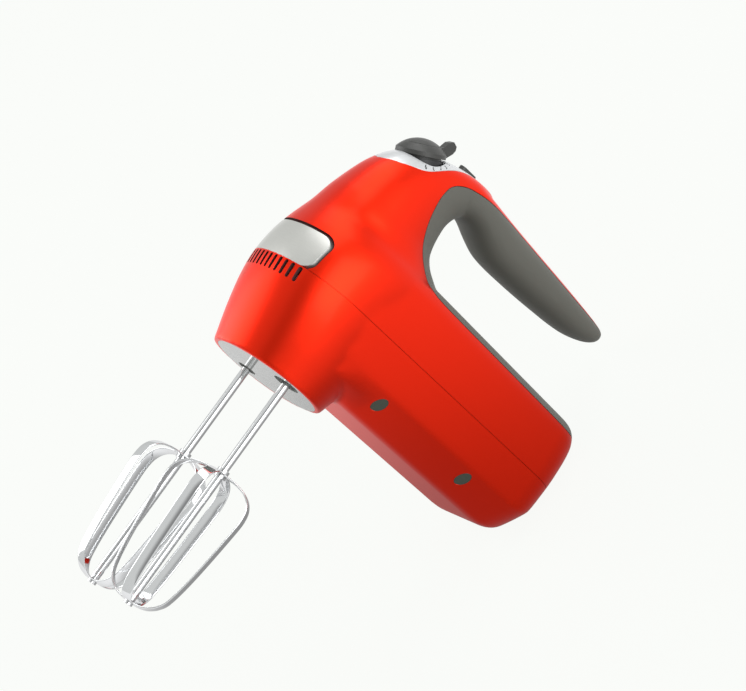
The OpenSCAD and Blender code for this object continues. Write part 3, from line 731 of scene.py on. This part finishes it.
# ---- Speed numbers ------------------------------------------------------
# Generic numbers for the speeds, printed on the trim where the dial's lever passes.
ink = Finish("printed_ink", Roughness=0.5)
ink.feed(Base_Color=ink.mix(ink.noise(4000), (0.035, 0.035, 0.04, 1), (0.06, 0.06, 0.065, 1)))
NUMBER_RING = 15.9
NUMBER_STEP = math.radians(18)
NUMBER_TALL = 1.9
TYPE_OVER_TALL = 1.4
FILM = 0.00004
DIAL_REAR = np.array((math.sin(DIAL_TILT), 0, -math.cos(DIAL_TILT)))
DIAL_SIDE = np.array((0, -1.0, 0))
trim_tree = BVHTree.FromObject(trim, bpy.context.evaluated_depsgraph_get())
dial_down = Vector(-DIAL_AXIS)
for number in range(7):
    letters = bpy.data.curves.new("number_%d" % number, "FONT")
    letters.body = str(number)
    letters.size = NUMBER_TALL * TYPE_OVER_TALL / 1000
    letters.offset = 0.00007
    letters.align_x = letters.align_y = "CENTER"
    printed = bpy.data.objects.new("number_%d" % number, letters)
    bpy.context.collection.objects.link(printed)
    bpy.context.view_layer.update()
    mesh = bpy.data.meshes.new_from_object(printed.evaluated_get(bpy.context.evaluated_depsgraph_get()))
    bpy.data.objects.remove(printed)
    turn = number * NUMBER_STEP
    out = math.cos(turn) * DIAL_REAR + math.sin(turn) * DIAL_SIDE
    aside = -math.sin(turn) * DIAL_REAR + math.cos(turn) * DIAL_SIDE
    centre = placed(DIAL_AT + 30 * DIAL_AXIS + NUMBER_RING * out)
    for vertex in mesh.vertices:
        start = Vector(centre + vertex.co.x * aside * -1 + vertex.co.y * -out)
        hit, normal, _, _ = trim_tree.ray_cast(start, dial_down)
        if hit is None:
            hit, normal, _, _ = trim_tree.find_nearest(start + dial_down * 0.03)
        vertex.co = hit + normal * 0.00003
    piece = bpy.data.objects.new("number_%d" % number, mesh)
    bpy.context.collection.objects.link(piece)
    film = piece.modifiers.new("film", "SOLIDIFY")
    film.thickness = FILM
    finished_mesh(piece)
    piece.data.materials.clear()
    piece.data.materials.append(ink.material)
    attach(piece, "housing")

# ---- Beaters ------------------------------------------------------------
# Each beater is a chromed steel shaft with two bent strips, which cross under the shaft's end,
# are riveted there, and are welded to the hub at the top.
chrome = Finish("chrome", Metallic=1.0, Roughness=0.08)
# Painted shade: the chrome's colour darkens where its surface is seen edge-on
painted_edge_shade = chrome.node("LayerWeight", {}, {"Blend": 0.5}, out=1) ** 4
chrome.feed(Base_Color=chrome.mix(painted_edge_shade * 0.9 + chrome.noise(30) * 0.1,
                                  (0.80, 0.81, 0.82, 1), (0.10, 0.10, 0.11, 1)),
            Roughness=0.06 + chrome.noise(500, 4) * 0.07)
refinish(chrome, "beater_shaft_left", "beater_shaft_right")
SPACING = 42
CAGE_R = 25
CAGE_LEN = 82
CAGE_TOP = 57.5
BLADE_W = 6.5
BLADE_T = 1.1
BLADE_PHASE = 39.5
BLADE_PATH = [(0.4, 0.006), (0.72, 0.035), (0.92, 0.09), (1, 0.17), (0.985, 0.3), (0.87, 0.64),
              (0.75, 0.85), (0.62, 0.93), (0.42, 0.98), (0.2, 1)]


def blade(side, turn):
    """Rings of a strip with rounded edges, from the hub round to the shaft's end."""
    path = smooth_through([(0.06, 0.0)] + BLADE_PATH + [(0.0, 1.0)], 8) * (CAGE_R, CAGE_LEN)
    ahead = np.gradient(path, axis=0)
    ahead /= np.linalg.norm(ahead, axis=1)[:, None]
    out_dir = np.stack([ahead[:, 1], -ahead[:, 0]], 1)
    angle = np.linspace(0, 2 * math.pi, 16, endpoint=False)
    across = np.sign(np.cos(angle)) * np.abs(np.cos(angle)) ** 0.35 * BLADE_W / 2
    through = np.sign(np.sin(angle)) * np.abs(np.sin(angle)) ** 0.8 * BLADE_T / 2
    rings = []
    for point, out in zip(path, out_dir):
        inner = point - out * BLADE_T / 2
        radius = inner[0] + through * out[0]
        down = inner[1] + through * out[1]
        y = radius * math.cos(turn) - across * math.sin(turn)
        z = radius * math.sin(turn) + across * math.cos(turn)
        rings.append(np.stack([-CAGE_TOP - down, side * SPACING / 2 + y, z], 1))
    return loft(rings)


for side, body, phase in ((-1, "beater_left", BLADE_PHASE), (1, "beater_right", 45 - BLADE_PHASE)):
    strips = joined(body + "_strips", [blade(side, math.radians(phase + 90 * k)) for k in range(4)])
    outward(strips)
    dressed(strips, body, "chrome_wire", chrome, body.replace("beater", "beater_blades"), sharp=50)

# ---- Gear train ---------------------------------------------------------
# Moulded wheels and yoke of white acetal, a bronze worm, sintered bushings,
# and a die-cast frame and cover that hold them.
acetal = Finish("white_acetal", Roughness=0.4)
acetal.feed(Base_Color=acetal.mix(acetal.noise(120), (0.70, 0.68, 0.62, 1), (0.76, 0.75, 0.70, 1)),
            Roughness=0.34 + acetal.noise(1500) * 0.14)
refinish(acetal, "worm_wheel_left", "worm_wheel_right", "ejector_yoke", "cooling_fan")
bronze = Finish("bronze", Metallic=1.0, Roughness=0.34)
bronze.feed(Base_Color=bronze.mix(bronze.noise(900, 4), (0.52, 0.33, 0.13, 1), (0.64, 0.44, 0.20, 1)),
            Roughness=0.28 + bronze.noise(2400) * 0.16)
refinish(bronze, "worm", "spindle_bushings", "motor_bearings", "commutator", "brush_holders")
cast = Finish("die_cast", Metallic=0.85, Roughness=0.5)
cast.feed(Base_Color=cast.mix(cast.noise(260, 4), (0.42, 0.43, 0.44, 1), (0.54, 0.55, 0.56, 1)))
cast.bump(cast.noise(1800, 5), 0.25, 0.0002)
refinish(cast, "gearbox_frame", "gearbox_cover", "motor_front_bracket", "motor_rear_bracket")
steel = Finish("turned_steel", Metallic=1.0, Roughness=0.3)
steel.feed(Base_Color=steel.mix(steel.noise(200, 3, (1, 1, 30)),
                                (0.46, 0.47, 0.48, 1), (0.58, 0.59, 0.60, 1)),
           Roughness=0.24 + steel.noise(1200) * 0.14)
refinish(steel, "housing_screws", "gearbox_screws", "motor_screws", "motor_shaft")
wire = Finish("spring_wire", Metallic=1.0, Roughness=0.25)
wire.feed(Base_Color=wire.mix(wire.noise(1500), (0.50, 0.51, 0.52, 1), (0.62, 0.63, 0.64, 1)))
refinish(wire, "eject_spring", "turbo_spring", "brush_springs")

# ---- Motor --------------------------------------------------------------
# A universal motor: stacks of pressed laminations, enamelled copper coils,
# and two carbon brushes on the commutator.
laminated = Finish("laminations", Metallic=0.8, Roughness=0.45)
layers = laminated.node("TexWave", {"wave_type": "BANDS", "bands_direction": "Z"},
                        {"Vector": laminated.node("TexCoord", out="Object"), "Scale": 320.0, "Distortion": 0.3})
laminated.feed(Base_Color=laminated.mix(layers, (0.09, 0.095, 0.10, 1), (0.20, 0.205, 0.215, 1)))
laminated.bump(layers, 0.4, 0.0001)
refinish(laminated, "armature_core", "stator_core")
copper = Finish("enamelled_copper", Metallic=0.7, Roughness=0.32, Coat_Weight=0.4)
turns = copper.node("TexWave", {"wave_type": "BANDS", "bands_direction": "X"},
                    {"Vector": copper.node("TexCoord", out="Object"), "Scale": 300.0, "Distortion": 1.2})
copper.feed(Base_Color=copper.mix(turns, (0.20, 0.060, 0.020, 1), (0.46, 0.17, 0.06, 1)))
copper.bump(turns, 0.5, 0.0002)
refinish(copper, "armature_windings", "field_coils")
carbon = Finish("carbon", Roughness=0.6)
carbon.feed(Base_Color=carbon.mix(carbon.noise(1200),
                                  (0.010, 0.010, 0.011, 1), (0.028, 0.028, 0.030, 1)))
refinish(carbon, "carbon_brushes")

# ---- Circuit board and switch -------------------------------------------
# Green glass-epoxy with a lacquered face, which carries the speed control.
board = Finish("circuit_board", Roughness=0.35, Coat_Weight=0.3)
board.feed(Base_Color=board.mix(board.noise(500, 4), (0.008, 0.060, 0.018, 1), (0.020, 0.110, 0.035, 1)))
refinish(board, "control_board", "speed_switch")

for scrap in [o for o in bpy.data.objects if o.type == "MESH" and o.name.split(".")[0] in SCRAP]:
    bpy.data.objects.remove(scrap)
